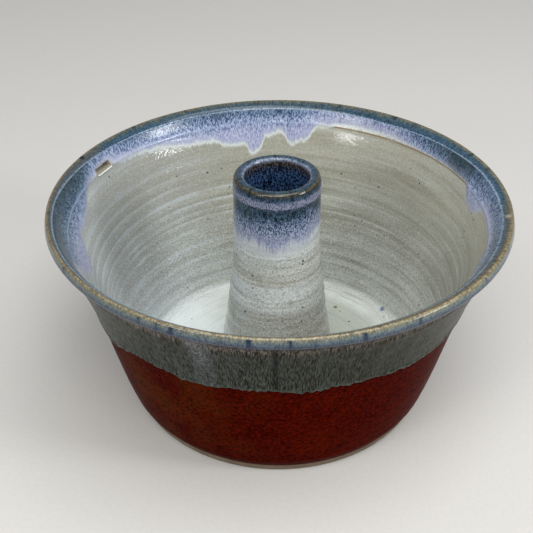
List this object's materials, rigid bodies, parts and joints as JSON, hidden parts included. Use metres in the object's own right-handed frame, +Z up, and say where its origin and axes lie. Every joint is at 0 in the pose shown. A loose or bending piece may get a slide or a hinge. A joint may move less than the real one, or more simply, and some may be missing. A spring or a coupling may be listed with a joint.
{
  "type": "stoneware bundt pan",
  "caption": "Wheel-thrown stoneware tube cake pan with a flared plain wall, overhanging lip, open centre tube, hanging slot, red and cream glazes and a blue dip on both rims.",
  "frame": {"origin": "centre of the foot, on the surface that the pan stands on", "axes": "+Z up along the axis of the tube; -Y towards the side that faces the camera in the picture; the hanging slot is at the back left, 155 degrees from +X towards +Y"},
  "size_m": [0.22, 0.22, 0.1182],
  "materials": {
    "bare_clay": "unglazed buff stoneware, matte and slightly gritty",
    "red_glaze": "glossy iron red with faint throwing lines",
    "cream_glaze": "satin gloss cream with throwing rings and iron specks",
    "blue_glaze": "glossy streaked blue, olive over the red and lavender over the cream, breaking to ochre on the edges"
  },
  "bodies": {
    "root": {"floor_disc": "bare_clay", "side_wall": "bare_clay", "centre_tube": "bare_clay", "wall_seam_coil": "bare_clay", "tube_seam_coil": "bare_clay", "red_coat": "red_glaze", "liner_coat": "cream_glaze", "rim_coat": "blue_glaze", "tube_coat": "blue_glaze"}
  },
  "joints": []
}
